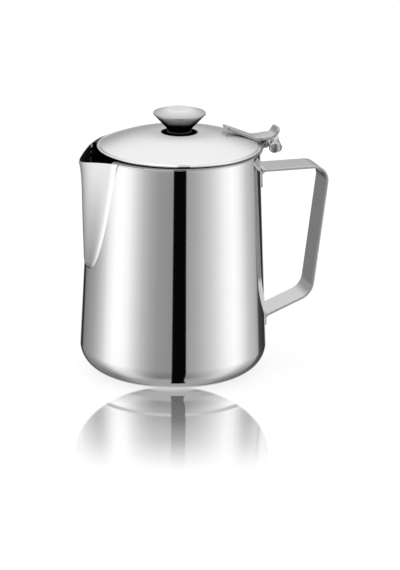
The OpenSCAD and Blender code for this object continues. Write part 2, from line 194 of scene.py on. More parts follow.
LEVER_OVER_Z = PIN_MID.z + KNUCKLE_R + HINGE_GAP
THUMB_X = PIN_MID.x + KNUCKLE_R + HINGE_GAP
THUMB_TIP_X = PIN_MID.x + THUMB_REACH
THUMB_AXIS_Z = PIN_MID.z - THUMB_AXIS_DROP
CURL_X = THUMB_TIP_X - TONGUE_REACH
LOBE_R = (THUMB_TIP_X - THUMB_X) * LOBE_SHARE
LOBE_X = (THUMB_TIP_X + THUMB_X) / 2
LOBE_Z = THUMB_AXIS_Z + LOBE_R / 2

KNOB_TOP_R = 0.0066
KNOB_WALL = 0.0007
KNOB_EDGE_H = KNOB_WALL / 2
NECK_R = 0.0065

# Camera and picture, aimed as the photograph is

VIEW_AZIMUTH = -17.08
VIEW_ELEVATION = 17.1
VIEW_DISTANCE = 1.6
VIEW_ROLL = 0.010
AIM = Vector((0, 0, 0.070))
PICTURE_W = 400
PICTURE_H = 570
FOCAL_PX = 2727.15
AIM_PX = (173.83, 250.95)
SENSOR_MM = 36


# Meshes


def sin(a):
    return math.sin(math.radians(a))


def cos(a):
    return math.cos(math.radians(a))


def tan(a):
    return math.tan(math.radians(a))


def smooth_step(t):
    t = min(1.0, max(0.0, t))
    return t * t * (3 - 2 * t)


def past(t, start, width):
    """Grows from 0 at start to 1 a width further on."""
    return smooth_step((t - start) / width)


def make_object(name, points, faces):
    mesh = bpy.data.meshes.new(name)
    mesh.from_pydata([tuple(p) for p in points], [], faces)
    bm = bmesh.new()
    bm.from_mesh(mesh)
    bmesh.ops.remove_doubles(bm, verts=bm.verts, dist=1e-7)
    bmesh.ops.dissolve_degenerate(bm, edges=bm.edges, dist=1e-7)
    bmesh.ops.recalc_face_normals(bm, faces=bm.faces)
    bm.to_mesh(mesh)
    bm.free()
    piece = bpy.data.objects.new(name, mesh)
    bpy.context.scene.collection.objects.link(piece)
    return piece


def loft(name, sections, closed=False):
    """A solid through closed loops of equal length.

    An open loft's ends are closed by strips that join each loop's first half to its second half, so the
    loops run out along one face and back along the other.
    """
    count = len(sections)
    width = len(sections[0])
    points = [p for loop in sections for p in loop]
    faces = []
    for i in range(count if closed else count - 1):
        k = (i + 1) % count
        for j in range(width):
            n = (j + 1) % width
            faces.append((i * width + j, i * width + n, k * width + n, k * width + j))
    if not closed:
        for base in (0, (count - 1) * width):
            for j in range(width // 2 - 1):
                faces.append((base + j, base + j + 1, base + width - 2 - j, base + width - 1 - j))
    return make_object(name, points, faces)


def revolve(name, outline, x=0.0, steps=240, start=0.0, end=360.0):
    """A closed outline of (radius, height) points turned about a vertical axis at x."""
    full = end - start >= 360
    angles = [start + (end - start) * k / steps for k in range(steps if full else steps + 1)]
    sections = [[(x + r * cos(a), r * sin(a), z) for r, z in outline] for a in angles]
    return loft(name, sections, closed=full)


def arc(cx, cy, r, a0, a1, steps):
    return [
        (cx + r * cos(a0 + (a1 - a0) * k / steps), cy + r * sin(a0 + (a1 - a0) * k / steps))
        for k in range(steps + 1)
    ]


def eased(corners, radii, steps=6):
    """A closed outline whose corners are rounded, each to its own radius."""
    out = []
    count = len(corners)
    for i in range(count):
        here = Vector(corners[i])
        before = (Vector(corners[i - 1]) - here).normalized()
        after = (Vector(corners[(i + 1) % count]) - here).normalized()
        if radii[i] <= 0:
            out.append(tuple(here))
            continue
        half = before.angle(after) / 2
        reach = radii[i] / math.tan(half)
        middle = here + (before + after).normalized() * (radii[i] / math.sin(half))
        a = here + before * reach
        b = here + after * reach
        for k in range(steps + 1):
            t = k / steps
            chord = a.lerp(b, t) - middle
            out.append(tuple(middle + chord.normalized() * radii[i]))
    return out


def prism(name, outline, low, high, axis):
    """A closed outline pushed from low to high along one axis; its two numbers fill the others."""

    def place(u, v, w):
        return {"x": (w, u, v), "y": (u, w, v), "z": (u, v, w)}[axis]

    count = len(outline)
    points = [place(u, v, w) for w in (low, high) for u, v in outline]
    faces = [tuple(range(count)), tuple(range(2 * count - 1, count - 1, -1))]
    faces += [(j, (j + 1) % count, count + (j + 1) % count, count + j) for j in range(count)]
    return make_object(name, points, faces)


def apply_modifiers(piece):
    bpy.context.view_layer.update()
    evaluated = piece.evaluated_get(bpy.context.evaluated_depsgraph_get())
    mesh = bpy.data.meshes.new_from_object(evaluated)
    piece.modifiers.clear()
    old = piece.data
    piece.data = mesh
    bpy.data.meshes.remove(old)
    return piece


def boolean(piece, tool, operation):
    modifier = piece.modifiers.new(operation, "BOOLEAN")
    modifier.operation = operation
    modifier.solver = "EXACT"
    modifier.object = tool
    apply_modifiers(piece)
    bpy.data.objects.remove(tool)
    return piece


def fuse(name, parts, voxel, rounds):
    """Joins solids into one skin with softened inner and outer corners, as in a casting."""
    bm = bmesh.new()
    for part in parts:
        bm.from_mesh(part.data)
        bpy.data.objects.remove(part)
    mesh = bpy.data.meshes.new(name)
    bm.to_mesh(mesh)
    bm.free()
    piece = bpy.data.objects.new(name, mesh)
    bpy.context.scene.collection.objects.link(piece)
    remesh = piece.modifiers.new("skin", "REMESH")
    remesh.mode = "VOXEL"
    remesh.voxel_size = voxel
    soften = piece.modifiers.new("soften", "SMOOTH")
    soften.factor = 0.5
    soften.iterations = rounds
    return apply_modifiers(piece)


def finish_piece(piece, body, material, nodes=(), sharp=30):
    """Smooth shading, a material, the body that it rides on and the CAD nodes that it stands for."""
    mesh = piece.data
    mesh.materials.clear()
    mesh.materials.append(material)
    mesh.shade_smooth()
    if sharp < 180:
        mesh.set_sharp_from_angle(angle=math.radians(sharp))
    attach(piece, body)
    if nodes:
        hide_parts(*nodes)
    return piece


def second_material(piece, material, wanted):
    """Gives the faces that wanted picks a material of their own."""
    piece.data.materials.append(material)
    for face in piece.data.polygons:
        if wanted(face):
            face.material_index = 1


# Materials

# How grey the duller patches of the steel are, as a share of its tint
DULL_SHARE = 0.965
# The tones of a noise between which its effect grows from none to full
NOISE_RANGE = (0.3, 0.7)
CLOUD_SCALE = 55.0
SPECK_SCALE = 2600.0
LINE_DEPTH = 0.00002
SPECK_DEPTH = 0.00001
# The painted shade round the knob's neck, under the lid's hem and at the edge of the knob's cap
SHADE_R = 0.0110
SHADE_SOFT_IN = 0.0012
SHADE_SOFT_OUT = 0.0004
SHADE_TONE = 0.03
RIM_SHADE_H = 0.0010
RIM_SHADE_TONE = 0.30
CAP_EDGE_SHADE = 0.62
RUBBER_DARK = (0.012, 0.012, 0.013, 1)
RUBBER_PALE = (0.026, 0.026, 0.027, 1)
RUBBER_ROUGH = (0.5, 0.68)
RUBBER_GRAIN_SCALE = 3200.0
RUBBER_GRAIN_DEPTH = 0.00004
# Painted shade on the spout's sides towards the creases
CREASE_SHADE_TONES = [(0.0, 1.0), (0.35, 1.0), (0.90, 0.80), (1.0, 1.0)]
# Painted shade down the knob's cone towards its neck
CONE_SHADE_TONES = [(0.0, 0.02), (0.40, 0.06), (0.65, 0.15), (0.85, 0.25), (0.93, 0.32), (1.0, 0.50)]


class Nodes:
    """A short way to write a material's nodes."""

    def __init__(self, tree):
        self.tree = tree
        tree.nodes.clear()

    def add(self, kind, **values):
        node = self.tree.nodes.new(kind)
        for name, value in values.items():
            setattr(node, name, value)
        return node

    def link(self, source, target):
        self.tree.links.new(source, target)

    def split(self, vector):
        node = self.add("ShaderNodeSeparateXYZ")
        self.link(vector, node.inputs[0])
        return node.outputs

    def math(self, operation, *inputs, clamp=False):
        node = self.add("ShaderNodeMath", operation=operation, use_clamp=clamp)
        for k, value in enumerate(inputs):
            self.put(value, node.inputs[k])
        return node.outputs[0]

    def put(self, value, socket):
        if isinstance(value, bpy.types.NodeSocket):
            self.link(value, socket)
        else:
            socket.default_value = value

    def ramp(self, factor, stops):
        node = self.add("ShaderNodeValToRGB")
        elements = node.color_ramp.elements
        elements[0].position, elements[1].position = stops[0][0], stops[-1][0]
        for position, _ in stops[1:-1]:
            elements.new(position)
        for element, (_, value) in zip(elements, stops, strict=True):
            element.color = (value, value, value, 1)
        self.link(factor, node.inputs[0])
        return node.outputs[0]

    def mix(self, share, first, second):
        node = self.add("ShaderNodeMixRGB")
        self.link(share, node.inputs[0])
        for value, socket in ((first, node.inputs[1]), (second, node.inputs[2])):
            self.put(value if isinstance(value, bpy.types.NodeSocket) else (value, value, value, 1), socket)
        return node.outputs[0]

    def remap(self, value, low, high, to_low, to_high, smooth=False):
        node = self.add("ShaderNodeMapRange")
        node.interpolation_type = "SMOOTHSTEP" if smooth else "LINEAR"
        node.clamp = True
        self.link(value, node.inputs[0])
        for k, number in enumerate((low, high, to_low, to_high)):
            node.inputs[k + 1].default_value = number
        return node.outputs[0]

    def noise(self, vector, scale, detail=3.0, roughness=0.5):
        node = self.add("ShaderNodeTexNoise")
        self.link(vector, node.inputs["Vector"])
        node.inputs["Scale"].default_value = scale
        node.inputs["Detail"].default_value = detail
        node.inputs["Roughness"].default_value = roughness
        return node.outputs["Fac"]

    def stretched(self, vector, scale):
        node = self.add("ShaderNodeMapping")
        self.link(vector, node.inputs["Vector"])
        node.inputs["Scale"].default_value = scale
        return node.outputs["Vector"]

    def bump(self, height, strength, distance, normal=None):
        node = self.add("ShaderNodeBump")
        node.inputs["Strength"].default_value = strength
        node.inputs["Distance"].default_value = distance
        self.link(height, node.inputs["Height"])
        if normal is not None:
            self.link(normal, node.inputs["Normal"])
        return node.outputs["Normal"]


def start_material(name):
    material = bpy.data.materials.new(name)
    material.use_nodes = True
    n = Nodes(material.node_tree)
    return material, n, n.add("ShaderNodeOutputMaterial")


def split_along_view(n, vector):
    """A vector's parts as the camera stands to it: to the right, away from the camera, and up."""
    turned = n.add("ShaderNodeVectorRotate", rotation_type="Z_AXIS")
    n.link(vector, turned.inputs["Vector"])
    turned.inputs["Angle"].default_value = -math.radians(VIEW_AZIMUTH)
    return n.split(turned.outputs[0])


def steel(
    name, grey, rough_low, rough_high, lines, line_strength, speck_strength, anisotropy=0.0, zone=None
):
    """Stainless steel: fine polishing or brushing lines, faint handling marks, and uneven gloss.

    A zone paints shade into the tint of part of a piece.
    """
    material, n, out = start_material(name)
    shader = n.add("ShaderNodeBsdfPrincipled")
    n.link(shader.outputs[0], out.inputs[0])
    where = n.add("ShaderNodeTexCoord").outputs["Object"]
    grain = n.noise(n.stretched(where, lines), 1.0, detail=4.0, roughness=0.6)
    cloud = n.noise(where, CLOUD_SCALE, detail=3.0)
    speck = n.noise(where, SPECK_SCALE, detail=2.0)
    tone = n.math("ADD", n.math("MULTIPLY", grain, 0.5), n.math("MULTIPLY", cloud, 0.5))
    colour = n.add("ShaderNodeMixRGB")
    n.link(n.remap(tone, *NOISE_RANGE, 0.0, 1.0), colour.inputs[0])
    colour.inputs[1].default_value = (*[grey * DULL_SHARE] * 3, 1)
    colour.inputs[2].default_value = (*[grey] * 3, 1)
    rough = n.remap(tone, *NOISE_RANGE, rough_low, rough_high)
    tinted = colour.outputs[0]
    if zone:
        tinted = zone(n, where, tinted)
        n.link(tinted, shader.inputs["Specular Tint"])
    n.link(tinted, shader.inputs["Base Color"])
    n.link(rough, shader.inputs["Roughness"])
    shader.inputs["Metallic"].default_value = 1.0
    shader.inputs["Anisotropic"].default_value = anisotropy
    first = n.bump(grain, line_strength, LINE_DEPTH)
    n.link(n.bump(speck, speck_strength, SPECK_DEPTH, first), shader.inputs["Normal"])
    return material


def rubber(name):
    material, n, out = start_material(name)
    shader = n.add("ShaderNodeBsdfPrincipled")
    n.link(shader.outputs[0], out.inputs[0])
    where = n.add("ShaderNodeTexCoord").outputs["Object"]
    grain = n.noise(where, RUBBER_GRAIN_SCALE, detail=3.0)
    colour = n.add("ShaderNodeMixRGB")
    n.link(grain, colour.inputs[0])
    colour.inputs[1].default_value = RUBBER_DARK
    colour.inputs[2].default_value = RUBBER_PALE
    n.link(colour.outputs[0], shader.inputs["Base Color"])
    n.link(n.remap(grain, *NOISE_RANGE, *RUBBER_ROUGH), shader.inputs["Roughness"])
    shader.inputs["Specular IOR Level"].default_value = 0.15
    n.link(n.bump(grain, 0.35, RUBBER_GRAIN_DEPTH), shader.inputs["Normal"])
    return material


def tint_by(n, tinted, shade):
    product = n.add("ShaderNodeMixRGB", blend_type="MULTIPLY")
    product.inputs[0].default_value = 1.0
    n.link(tinted, product.inputs[1])
    n.link(shade, product.inputs[2])
    return product.outputs[0]


def shaded_centre(n, where, tinted):
    """Painted shade and painted reflection: the dome is black close round the knob's neck, where the knob
    shades it and where the image of its black neck would lie.
    """
    x, y, _ = n.split(where)
    x = n.math("SUBTRACT", x, LID_X)
    r = n.math("SQRT", n.math("ADD", n.math("MULTIPLY", x, x), n.math("POWER", y, 2.0)))
    shade = n.remap(r, SHADE_R - SHADE_SOFT_IN, SHADE_R + SHADE_SOFT_OUT, SHADE_TONE, 1.0, smooth=True)
    return tint_by(n, tinted, shade)


def shaded_rim(n, where, tinted):
    """The rim of the body lies in the shade of the lid's hem."""
    z = n.split(where)[2]
    low = BODY_H - RIM_SHADE_H
    shade = n.remap(z, low, BODY_H - RIM_SHADE_H / 2, 1.0, RIM_SHADE_TONE, smooth=True)
    return tint_by(n, tinted, shade)


def painted_crease_shade(n, where, tinted):
    """Painted shade: the spout's sides grow greyer towards the creases where they leave the body, and
    lighten again right at the creases.
    """
    x, y, z = n.split(where)
    height = n.remap(z, SPOUT_FOOT_Z, BODY_H, 0.0, 1.0)
    spread = n.math("MULTIPLY", n.math("POWER", height, WIDEN_POWER), math.radians(SPOUT_HALF_ANGLE))
    aside = n.math("ARCTAN2", n.math("ABSOLUTE", y), n.math("MULTIPLY", x, -1.0))
    share = n.math("DIVIDE", aside, spread)
    return tint_by(n, tinted, n.ramp(share, CREASE_SHADE_TONES))


def painted_shade_cone(n, where, tinted):
    """Painted shade: the cone darkens from its rim down to its neck, where it stands in the shade of the
    cap.
    """
    share = n.remap(n.split(where)[2], CONE_LOW.z, CONE_HIGH.z, 0.0, 1.0)
    return tint_by(n, tinted, n.ramp(share, CONE_SHADE_TONES))


def painted_cap_shade(n, where, tinted):
    """Painted shade: the knob's cap is brightest on top and greyer towards its edge."""
    return tint_by(n, tinted, n.remap(n.split(where)[2], CAP_LOW.z, CAP_HIGH.z, CAP_EDGE_SHADE, 1.0))


# Surface lines: how close the grain is along x, y and z
FINE = (40, 40, 900)
EVEN = (600, 600, 600)
SPUN = (500, 500, 500)
DRAWN = (60, 60, 2600)

POLISHED = steel("polished_steel_look", 0.94, 0.030, 0.060, FINE, 0.05, 0.02)
BODY_STEEL = steel("body_steel_look", 0.94, 0.030, 0.060, FINE, 0.05, 0.02, zone=shaded_rim)
DOME_SATIN = steel("dome_steel_look", 0.90, 0.20, 0.26, SPUN, 0.10, 0.06, zone=shaded_centre)
SPOUT_SATIN = steel("spout_steel_look", 1.0, 0.17, 0.21, FINE, 0.10, 0.04, zone=painted_crease_shade)
HINGE_STEEL = steel("hinge_steel_look", 0.36, 0.16, 0.24, EVEN, 0.15, 0.08)
LEVER_STEEL = steel("lever_steel_look", 0.66, 0.24, 0.32, EVEN, 0.20, 0.10)
CAP_SATIN = steel("cap_steel_look", 0.92, 0.42, 0.50, SPUN, 0.10, 0.06, zone=painted_cap_shade)
# Painted shade: the spout's inner faces are a darker grey than its steel, as if in shade
SPOUT_INSIDE_SHADE = steel("spout_inside_shade_look", 0.30, 0.34, 0.42, DRAWN, 0.35, 0.10)
CONE_STEEL = steel("cone_steel_look", 0.90, 0.08, 0.14, (60, 60, 900), 0.05, 0.04, zone=painted_shade_cone)
SATIN = steel("satin_steel_look", 0.80, 0.24, 0.34, DRAWN, 0.35, 0.10)
BRUSHED = steel("brushed_steel_look", 0.68, 0.14, 0.22, (140, 3600, 140), 0.40, 0.08, 0.4)
PLAIN = steel("plain_steel_look", 0.84, 0.10, 0.18, EVEN, 0.15, 0.08)
BLACK = rubber("black_washer_look")


# Body


def side_r(z):
    """Outer radius of the body's straight side at height z."""
    return BODY_R + (RIM_R - BODY_R) * (z - CORNER_R) / (TAPER_TOP_Z - CORNER_R)


def body_half(inset):
    return (
        [(0.0, inset)]
        + arc(BASE_R, CORNER_R, CORNER_R - inset, -90, 0, 24)
        + arc(RIM_R - CURL_R, TAPER_TOP_Z, CURL_R - inset, 0, 90, 10)
    )


def nose(u):
    return math.sqrt(u * u + NOSE_SHARE * NOSE_SHARE * (1 - u * u))


def spout_phi(s):
    spread = (FOOT_SHARE + (1 - FOOT_SHARE) * s) ** WIDEN_POWER
    return SPOUT_HALF_ANGLE * spread + SPOUT_LIP_ANGLE * s**LIP_POWER


def spout_edge_z(u):
    share = max(0.0, (1 - nose(u)) / (1 - NOSE_SHARE))
    return BODY_H - CURL_R / 2 - (SPOUT_TIP_DROP - CURL_R / 2) * share**DIP_POWER


def spout_z(s, u):
    return SPOUT_FOOT_Z + (spout_edge_z(u) - SPOUT_FOOT_Z) * s


def inside_body(face):
    """Whether a face belongs to the inner skin of the body."""
    r = math.hypot(face.center.x, face.center.y)
    z = face.center.z
    if z <= WALL / 2:
        return False
    if z < CORNER_R:
        return math.hypot(max(0.0, r - BASE_R), CORNER_R - z) < CORNER_R - WALL / 2
    return r < side_r(z) - WALL / 2 and z < BODY_H - WALL * 0.9


def pour_opening():
    """The V that is cut from the body behind the spout."""
    steps = 40
    side = []
    for k in range(steps + 1):
        s = k / steps
        z = spout_z(s, OPENING_SHARE)
        side.append((side_r(z) * sin(OPENING_SHARE * spout_phi(s)), z))
    top = side[-1][1] + 2 * SPOUT_TIP_DROP
    outline = side + [(side[-1][0], top), (-side[-1][0], top)] + [(-y, z) for y, z in side[::-1]]
    return prism("pour_opening", outline, -2 * BODY_R, 0, "x")


def make_body():
    outline = body_half(0)
    outline += [(MOUTH_R, BODY_H), (MOUTH_R, BODY_H - WALL)]
    outline += body_half(WALL)[::-1]
    body = revolve("body_shell", outline, steps=288)
    boolean(body, pour_opening(), "DIFFERENCE")
    finish_piece(body, "jug", BODY_STEEL, ["body"], sharp=28)
    second_material(body, SATIN, inside_body)
    return body


def spout_plan(s, u):
    """Place of the spout's inner face seen from above, with the nose along the first axis."""
    r = side_r(spout_z(s, u))
    phi = spout_phi(s)
    half_w = r * sin(phi)
    root = r * cos(phi)
    reach = r / cos(phi * (1 - NOSE_SHARE)) - root
    power = min(ROUND_POWER, tan(SPOUT_SIDE_ANGLE) * half_w / reach)
    rounded = Vector((root + reach * (1 - abs(u) ** power), half_w * u))
    flat = Vector((cos(phi * u), sin(phi * u))) * r / cos(phi * (1 - min(1.0, nose(u))))
    return rounded.lerp(flat, STRAIGHT_SHARE)


def spout_point(s, u, widest, outside):
    """A point of the spout's outer or inner face: s runs up from the foot, u across from the nose."""
    skirt = max(0.0, abs(u) - 1) / SKIRT_SHARE
    z = spout_z(s, u) - skirt * CURL_R * s
    plan = spout_plan(s, u)
    full = max(0.0, 1 - abs(u) ** SIDE_THIN_POWER) * min(1.0, s / FOOT_THIN_SHARE)
    wall = SPOUT_EDGE_WALL + (WALL - SPOUT_EDGE_WALL) * full
    # The pouring edge is eased on both faces
    ease = min(1.0, (spout_edge_z(u) - z) / POUR_EDGE_H)
    ease = POUR_EDGE_SHARE * (1 - math.sqrt(max(0.0, 1 - (1 - ease) ** 2)))
    out = plan.length + SEAT_GAP + wall * (1 - ease if outside else ease)
    body = side_r(z)
    if outside:
        # The ground weld runs into the body in a small hollow, and its edge sinks in
        edge_w = max(1e-6, (widest - 1) * EDGE_SINK_SHARE)
        sink = smooth_step((abs(u) - 1) / edge_w) + 1 - smooth_step(s / FOOT_SINK_SHARE)
        near = max(0.0, 1 - abs(out - body) / WELD_R)
        out = max(out, body) + near**3 * WELD_R / 6
        out += (body - SINK_DEPTH - out) * min(1.0, sink)
    elif abs(u) > OPENING_SHARE:
        out = min(out, body + SEAT_GAP) - WALL / 2 * past(abs(u), *SIDE_SINK)
    plan *= out / plan.length
    return -plan.x, -plan.y, z


def faces_inwards(face):
    outwards = Vector((face.center.x, face.center.y, 0))
    return face.normal.dot(outwards.normalized()) < INWARDS


def make_spout():
    rows = 84
    cols = 96
    sections = []
    for i in range(rows + 1):
        s = (i / rows) ** 2
        widest = 1 + SKIRT_SHARE * (1 - past(s, *SKIRT_FADE))
        across = [widest * (2 * j / cols - 1) for j in range(cols + 1)]
        outer = [spout_point(s, u, widest, True) for u in across]
        sections.append(outer + [spout_point(s, u, widest, False) for u in across[::-1]])
    spout = loft("spout_shell", sections)
    finish_piece(spout, "jug", SPOUT_SATIN, ["spout"], sharp=40)
    second_material(spout, SPOUT_INSIDE_SHADE, faces_inwards)
    return spout


# Handle


def bent_path(corners, radii):
    """Points and unit left-hand sides along a line of straights joined by arcs."""
    out = []
    for i, here in enumerate(corners):
        here = Vector(here)
        if i in (0, len(corners) - 1):
            other = Vector(corners[1] if i == 0 else corners[-2])
            along = (other - here).normalized() * (1 if i == 0 else -1)
            out.append((here, Vector((-along.y, along.x))))
            continue
        a = (here - Vector(corners[i - 1])).normalized()
        b = (Vector(corners[i + 1]) - here).normalized()
        way = 1 if a.x * b.y - a.y * b.x > 0 else -1
        turn = a.angle(b)
        start = here - a * radii[i] * math.tan(turn / 2)
        centre = start + Vector((-a.y, a.x)) * way * radii[i]
        for k in range(25):
            spin = Matrix.Rotation(way * turn * k / 24, 2)
            along = spin @ a
            out.append((centre + spin @ (start - centre), Vector((-along.y, along.x))))
    return out


def fill_path(path, gap):
    """Adds points to the long straights of a bent path."""
    out = [path[0]]
    for (p, m), (q, n) in zip(path, path[1:]):
        count = max(1, round((q - p).length / gap))
        out += [(p.lerp(q, k / count), m.lerp(n, k / count).normalized()) for k in range(1, count + 1)]
    return out


def strip_outline(width, thick, edge_r, cols=24):
    """Half-thickness at places across a strip: a flat strip with eased edges."""
    flat = width / 2 - edge_r
    across = [-flat + 2 * flat * k / cols for k in range(cols + 1)]
    ends = [flat + edge_r * sin(90 * k / 6) for k in range(1, 7)]
    across = [-a for a in ends[::-1]] + across + ends
    heights = []
    for a in across:
        over = max(0.0, abs(a) - flat)
        heights.append(thick / 2 - edge_r + math.sqrt(max(0.0, edge_r**2 - over**2)))
    return across, heights


def make_handle():
    def tab_mid(z):
        return (side_r(z) + SEAT_GAP + STRIP_T / 2, z)

    top_z = BODY_H - HANDLE_TOP_DROP - STRIP_T / 2
    grip_top = (BODY_R + HANDLE_OUT - STRIP_T / 2, top_z)
    grip_low = (grip_top[0] - (top_z - HANDLE_LOW_Z) * tan(GRIP_LEAN), HANDLE_LOW_Z)
    low_z = HANDLE_LOW_Z - (grip_low[0] - tab_mid(HANDLE_LOW_Z)[0]) * tan(LOW_ARM_SLOPE)
    corners = [tab_mid(top_z - TOP_TAB_L), tab_mid(top_z), grip_top, grip_low, tab_mid(low_z)]
    corners.append(tab_mid(low_z - LOW_TAB_L))
    radii = [0, TAB_BEND_R, TOP_BEND_R, LOW_BEND_R, TAB_BEND_R, 0]
    path = fill_path(bent_path(corners, radii), PATH_GAP)
    length = [0.0]
    for (p, _), (q, _) in zip(path, path[1:]):
        length.append(length[-1] + (q - p).length)
    total = length[-1]
    tab_corner_r = STRIP_W / 6
    sections = []
    for (p, left), s in zip(path, length):
        # Near its ends the strip narrows to rounded corners and wraps round the body
        tab = TOP_TAB_L if s < total / 2 else LOW_TAB_L
        near = min(s, total - s)
        over = max(0.0, tab_corner_r - near)
        width = STRIP_W - 2 * (tab_corner_r - math.sqrt(max(0.0, tab_corner_r**2 - over**2)))
        wrap = 1 - smooth_step((near - tab + TAB_BEND_R) / (TAB_WRAP_SHARE * TAB_BEND_R))
        across, heights = strip_outline(width, STRIP_T, STRIP_EDGE_R)
        loop = []
        for side in (1, -1):
            line = []
            for a, h in zip(across, heights):
                q = p + left * h * side
                r = side_r(q.y)
                line.append((q.x - wrap * (r - math.sqrt(r * r - a * a)), a, q.y))
            loop += line if side == 1 else line[::-1]
        sections.append(loop)
    handle = loft("handle_strip", sections)
    return finish_piece(handle, "jug", BRUSHED, ["handle"], sharp=50)


# Lid


def dome_z(r):
    t = max(0.0, r - DOME_FLAT_R) / (DOME_R - DOME_FLAT_R)
    return HEM_TOP_Z + DOME_RISE * (1 - t * t)


def dome_points(end_r, drop):
    """Places along the dome from the screw hole outwards, dropped below its outer face."""
    steps = 64
    radii = [SCREW_HOLE_R + (end_r - SCREW_HOLE_R) * k / steps for k in range(steps + 1)]
    return [(r, dome_z(r) - drop) for r in radii]


def on_hem(face):
    return math.hypot(face.center.x - LID_X, face.center.y) > DOME_R


def make_lid():
    seam_r = DOME_R - LID_WALL
    # A shallow groove where the dome meets the rolled hem
    groove_z = HEM_TOP_Z - GROOVE_R * 0.8
    groove = [(DOME_R, groove_z), (DOME_R + GROOVE_R * 0.5, groove_z), (DOME_R + GROOVE_R * 1.3, HEM_TOP_Z)]
    hem = arc(LID_R - HEM_T / 2, HEM_Z + HEM_T / 2, HEM_T / 2, 90, -90, 16)
    outline = dome_points(DOME_R - GROOVE_R, 0) + groove + hem + [(seam_r, HEM_Z)]
    lid = revolve("lid_dome", outline + dome_points(seam_r, LID_WALL)[::-1], LID_X, steps=288)
    finish_piece(lid, "lid_assembly", DOME_SATIN, ["lid"], sharp=24)
    second_material(lid, POLISHED, on_hem)
    return lid


def make_lid_ring():
    corners = [(RING_R - WALL, RING_LOW.z), (RING_R, RING_LOW.z), (RING_R, HEM_Z), (RING_R - WALL, HEM_Z)]
    outline = eased(corners, [RING_EDGE_R * 1.4, RING_EDGE_R * 1.4, 0, 0])
    gap = RING_GAP_ANGLE - 180
    low = revolve("lid_ring_wall", outline, LID_X, 200, gap, 180 - RING_GAP_ANGLE)
    corners = [(RING_R - WALL, HEM_Z - RING_EDGE_R), (RING_R, HEM_Z - RING_EDGE_R)]
    corners += [(RING_R, RING_HIGH.z), (RING_R - WALL, RING_HIGH.z)]
    high = revolve("lid_ring_top", corners, LID_X, 200)
    boolean(low, high, "UNION")
    return finish_piece(low, "lid_assembly", PLAIN, ["lid_ring"], sharp=40)


# Hinge and lever


def make_bracket():
    plate_top = TAPER_TOP_Z - SEAT_GAP
    plate_low = plate_top - PLATE_H
    ear_in = KNUCKLE_W / 2 + HINGE_GAP
    plate_w = 2 * (ear_in + EAR_T)
    corner_r = plate_w / 8
    rows = 24
    sections = []
    for i in range(rows + 1):
        z = plate_low + PLATE_H * (1 - cos(90 * i / rows))
        over = max(0.0, corner_r - (z - plate_low))
        half = plate_w / 2 - corner_r + math.sqrt(max(0.0, corner_r**2 - over**2))
        loop = []
        for out in (PLATE_T, 0):
            line = []
            for j in range(25):
                y = half * (j / 12 - 1)
                r = side_r(z) + SEAT_GAP + out
                line.append((math.sqrt(r * r - y * y), y, z))
            loop += line if out else line[::-1]
        sections.append(loop)
    parts = [loft("plate", sections)]
    root_x = side_r(plate_low) + PLATE_T / 2
    ear_low = plate_top - PLATE_H * 2 / 3
    for side in (-1, 1):
        outline = [(root_x - PLATE_T * EAR_ROOT_SHARE, ear_low + EAR_ROOT_RISE)]
        outline += [(PIN_MID.x - KNUCKLE_R / 2, PIN_MID.z - KNUCKLE_R)]
        outline += arc(PIN_MID.x, PIN_MID.z, KNUCKLE_R, -90, 90, 24)
        outline += [(side_r(plate_top) + SEAT_GAP * 2, plate_top - EAR_TOP_DROP)]
        low, high = sorted((side * ear_in, side * (ear_in + EAR_T)))
        parts.append(prism("ear", outline, low, high, "y"))
    bracket = fuse("hinge_bracket_body", parts, BRACKET_VOXEL, 4)
    return finish_piece(bracket, "jug", HINGE_STEEL, ["hinge_bracket"], sharp=180)


def make_pin():
    length = PIN_HIGH.y - PIN_LOW.y
    dome = PIN_R * PIN_DOME_SHARE
    outline = [(0, 0)]
    outline += [(PIN_R * sin(90 * k / 8), dome * (1 - cos(90 * k / 8))) for k in range(1, 9)]
    outline += [(r, length - z) for r, z in outline[::-1]]
    pin = revolve("hinge_pin_body", outline, steps=48)
    place = Matrix.Translation((PIN_MID.x, PIN_HIGH.y, PIN_MID.z))
    pin.data.transform(place @ Matrix.Rotation(math.pi / 2, 4, "X"))
    return finish_piece(pin, "jug", HINGE_STEEL, ["hinge_pin"], sharp=30)


def lever_low_z(x):
    """Height of the strap's underside, which lifts off the dome towards its inner end."""
    seat_x = LID_X + DOME_R * LEVER_SEAT_SHARE
    lift = max(0.0, seat_x - x) / (seat_x - LEVER_IN_X)
    return dome_z(x - LID_X) + SEAT_GAP + LEVER_LIFT * lift**2


def lever_strap():
    """The strap on the dome widens from its blunt inner end to the hinge."""
    off_x = LID_X + DOME_R - HEM_W
    knots = [LEVER_IN_X + (off_x - LEVER_IN_X) * k / 40 for k in range(41)]
    line = [(x, lever_low_z(x)) for x in knots]
    line += [(PIN_MID.x - KNUCKLE_R, LEVER_OVER_Z), (PIN_MID.x, LEVER_OVER_Z + LEVER_CROWN)]
    line += [(CURL_X + LEVER_JOIN_L, THUMB_AXIS_Z + THUMB_IN_R)]
    in_half = LEVER_IN_W / 2
    corner_r = LEVER_T
    sections = []
    for x, z in line:
        over = max(0.0, LEVER_IN_X + corner_r - x)
        share = (x - LEVER_IN_X) / (PIN_MID.x - KNUCKLE_R - LEVER_IN_X)
        half = in_half + (LEVER_HINGE_W / 2 - in_half) * min(1.0, share)
        half -= corner_r - math.sqrt(max(0.0, corner_r**2 - over**2))
        across = [half * (j / 10 - 1) for j in range(21)]
        top = [(x, y, z + LEVER_T - LEVER_CROWN * (y / half) ** 2) for y in across]
        sections.append(top + [(x, y, z) for y in across[::-1]])
    return loft("strap", sections)


